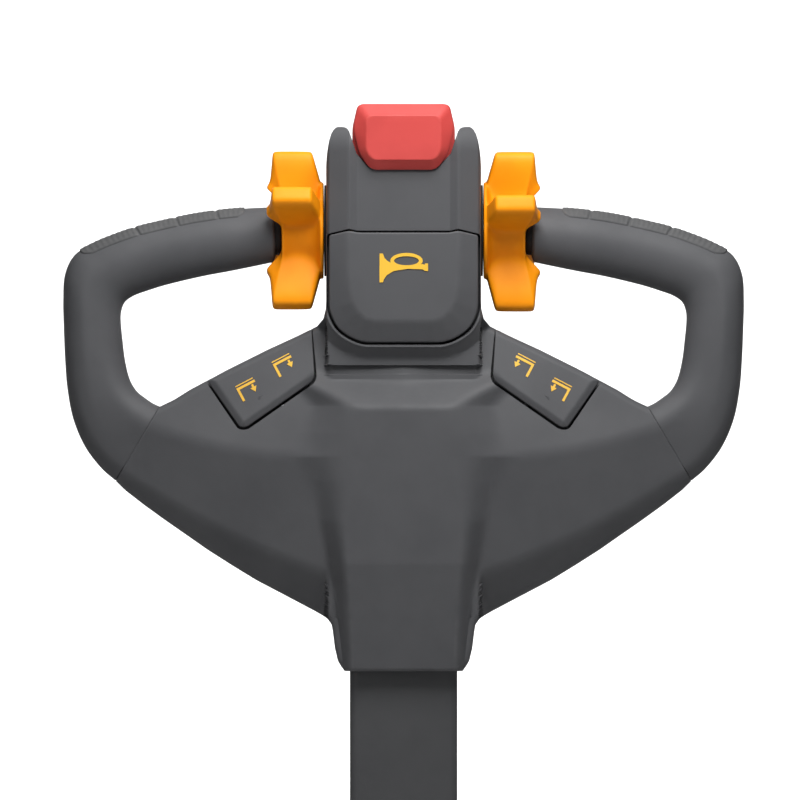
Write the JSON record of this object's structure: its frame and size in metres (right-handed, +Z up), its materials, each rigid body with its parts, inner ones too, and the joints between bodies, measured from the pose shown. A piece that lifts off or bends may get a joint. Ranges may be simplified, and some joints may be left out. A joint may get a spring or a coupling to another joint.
{
  "type": "pallet truck tiller head",
  "caption": "Tiller control head with two closed hand loops, thumb throttle wheels, a belly button, a horn panel and lift rocker panels, on a short rectangular steel arm.",
  "frame": {"origin": "midway between the two fixing holes at the arm's lower end, in the middle of the tube", "axes": "+Z up the arm towards the head, -Y towards the operator who faces the controls, +X across the truck to the right as the controls are seen"},
  "size_m": [0.381, 0.0889, 0.486],
  "materials": {
    "housing": "fine spark-eroded texture, matt",
    "soft_insert": "ribbed, matt",
    "throttle_plastic": "smooth, satin",
    "button_plastic": "smooth, satin",
    "mark_ink": "printed mark, slightly raised",
    "arm_paint": "powder coat",
    "cast_frame": "as cast",
    "steel": "ground",
    "screw_steel": "zinc plated",
    "spring_steel": "drawn wire",
    "bearing_bronze": "sintered bronze",
    "seal_rubber": "matt",
    "inner_plastic": "moulded, matt",
    "circuit_board": "solder resist",
    "magnet": "nickel plated"
  },
  "bodies": {
    "head": {"front_shell": "housing", "back_shell": "housing", "console_cover": "housing", "grip_left": "housing", "grip_right": "housing", "grip_insert_left": "soft_insert", "grip_insert_right": "soft_insert", "arm_tube": "arm_paint", "core_frame": "cast_frame", "grip_rod_left": "steel", "grip_rod_right": "steel", "horn_pin": "steel", "rocker_pin_left": "steel", "rocker_pin_right": "steel", "arm_screws": "screw_steel", "shell_screws": "screw_steel", "cover_screws": "screw_steel", "board_screws": "screw_steel", "grip_screws": "screw_steel", "belly_springs": "spring_steel", "horn_spring": "spring_steel", "throttle_spring": "spring_steel", "rocker_springs_left": "spring_steel", "rocker_springs_right": "spring_steel", "shaft_bushes": "bearing_bronze", "end_bushes": "bearing_bronze", "neck_seal": "seal_rubber", "shaft_seals": "seal_rubber", "belly_guide": "inner_plastic", "board_connector": "inner_plastic", "horn_switch": "inner_plastic", "rocker_switches_left": "inner_plastic", "rocker_switches_right": "inner_plastic", "main_board": "circuit_board", "hall_board": "circuit_board", "belly_sensor": "circuit_board", "rocker_board_left": "circuit_board", "rocker_board_right": "circuit_board"},
    "belly": {"belly_button": "button_plastic", "belly_posts": "steel", "belly_clips": "steel", "belly_magnet": "magnet"},
    "horn": {"horn_panel": "housing", "horn_symbol": "mark_ink"},
    "throttle": {"throttle_shaft": "steel", "throttle_wheel_left": "throttle_plastic", "throttle_wheel_right": "throttle_plastic", "wheel_pins": "steel", "throttle_lever": "inner_plastic", "throttle_magnet": "magnet"},
    "rocker_l": {"rocker_left": "housing", "rocker_symbols_left": "mark_ink"},
    "rocker_r": {"rocker_right": "housing", "rocker_symbols_right": "mark_ink"}
  },
  "joints": [
    {"name": "throttle_turn", "type": "hinge", "parent": "head", "child": "throttle", "pos_m": [0, 0, 0.396], "axis": [1, 0, 0], "range_deg": [-30, 30], "stiffness_Nm_per_rad": 0.6, "deforming": ["throttle_spring"]},
    {"name": "belly_press", "type": "slide", "parent": "head", "child": "belly", "axis": [0, 0, -1], "range_m": [0, 0.005], "stiffness_N_per_m": 1500, "springref_m": -0.003, "deforming": ["belly_springs"]},
    {"name": "horn_press", "type": "hinge", "parent": "head", "child": "horn", "pos_m": [0, -0.029, 0.388], "axis": [1, 0, 0], "range_deg": [0, 3], "stiffness_Nm_per_rad": 3, "springref_deg": -1.72, "deforming": ["horn_spring"]},
    {"name": "rocker_l_tip", "type": "hinge", "parent": "head", "child": "rocker_l", "pos_m": [-0.07453, -0.01378, 0.31017], "axis": [0.4548, -0.2542, -0.8535], "range_deg": [-4, 4], "stiffness_Nm_per_rad": 2, "deforming": ["rocker_springs_left"]},
    {"name": "rocker_r_tip", "type": "hinge", "parent": "head", "child": "rocker_r", "pos_m": [0.07453, -0.01378, 0.31017], "axis": [0.4548, 0.2542, 0.8535], "range_deg": [-4, 4], "stiffness_Nm_per_rad": 2, "deforming": ["rocker_springs_right"]}
  ]
}
